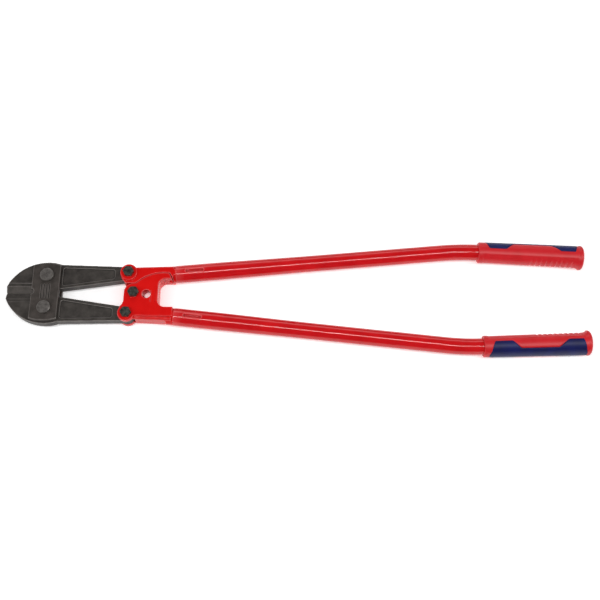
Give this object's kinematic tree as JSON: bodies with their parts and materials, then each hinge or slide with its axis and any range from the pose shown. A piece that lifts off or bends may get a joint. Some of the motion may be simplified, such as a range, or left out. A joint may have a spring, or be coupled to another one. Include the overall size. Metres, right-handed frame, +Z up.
{
  "type": "bolt cutters",
  "caption": "Compound-lever bolt cutters: two jaws tied by straps, toggle forks on a hub bolt, long bent tube handles with two-component grips.",
  "frame": {"origin": "centre of the bounding box at its base, with the tool lying flat on its side", "axes": "+X along the tool towards the grips, +Y across the handles, +Z up out of the side that carries the bolt heads"},
  "size_m": [0.9042, 0.189, 0.0393],
  "materials": {
    "strap_steel": "forged steel, phosphated dark grey",
    "jaw_steel": "drop-forged tool steel, phosphated dark grey",
    "jaw_bolt_steel": "turned steel, blackened",
    "fork_enamel": "gloss red powder coat on forged steel",
    "tube_enamel": "gloss red powder coat on steel tube",
    "grip_red": "moulded hard red plastic",
    "grip_blue": "moulded soft blue elastomer",
    "fork_bolt_steel": "hexagon fasteners, black zinc"
  },
  "bodies": {
    "head": {"front_strap": "strap_steel", "rear_strap": "strap_steel", "upper_jaw_bolt": "jaw_bolt_steel", "lower_jaw_bolt": "jaw_bolt_steel", "upper_jaw_nut": "jaw_bolt_steel", "lower_jaw_nut": "jaw_bolt_steel", "upper_jaw_washer": "jaw_bolt_steel", "lower_jaw_washer": "jaw_bolt_steel"},
    "upper_jaw_body": {"upper_jaw": "jaw_steel"},
    "lower_jaw_body": {"lower_jaw": "jaw_steel"},
    "lower_handle": {"lower_fork": "fork_enamel", "lower_tube": "tube_enamel", "lower_grip": "grip_red", "lower_grip_inlay": "grip_blue", "lower_tang_bolt": "fork_bolt_steel", "lower_tang_nut": "fork_bolt_steel", "lower_tang_washer": "fork_bolt_steel", "hub_bolt": "fork_bolt_steel", "hub_nut": "fork_bolt_steel", "hub_washer": "fork_bolt_steel"},
    "upper_handle": {"upper_fork": "fork_enamel", "upper_tube": "tube_enamel", "upper_grip": "grip_red", "upper_grip_inlay": "grip_blue", "upper_tang_bolt": "fork_bolt_steel", "upper_tang_nut": "fork_bolt_steel", "upper_tang_washer": "fork_bolt_steel"}
  },
  "joints": [
    {"name": "upper_jaw_pivot", "type": "hinge", "parent": "head", "child": "upper_jaw_body", "pos_m": [-0.3886, 0.0265, 0.0195], "axis": [0, 0, 1], "range_deg": [-7.48, 0]},
    {"name": "lower_jaw_pivot", "type": "hinge", "parent": "head", "child": "lower_jaw_body", "pos_m": [-0.3886, -0.0265, 0.0195], "axis": [0, 0, 1], "range_deg": [0, 7.48]},
    {"name": "lower_toggle_pivot", "type": "hinge", "parent": "lower_jaw_body", "child": "lower_handle", "pos_m": [-0.2621, -0.0335, 0.0195], "axis": [0, 0, 1], "range_deg": [-52.48, 0]},
    {"name": "handle_pivot", "type": "hinge", "parent": "lower_handle", "child": "upper_handle", "pos_m": [-0.2526, 0, 0.0195], "axis": [0, 0, 1], "range_deg": [0, 90]}
  ],
  "couplings": [
    {"joint": "upper_jaw_pivot", "follows": "handle_pivot", "ratio": -0.083122},
    {"joint": "lower_jaw_pivot", "follows": "handle_pivot", "ratio": 0.083122},
    {"joint": "lower_toggle_pivot", "follows": "handle_pivot", "ratio": -0.58312}
  ]
}
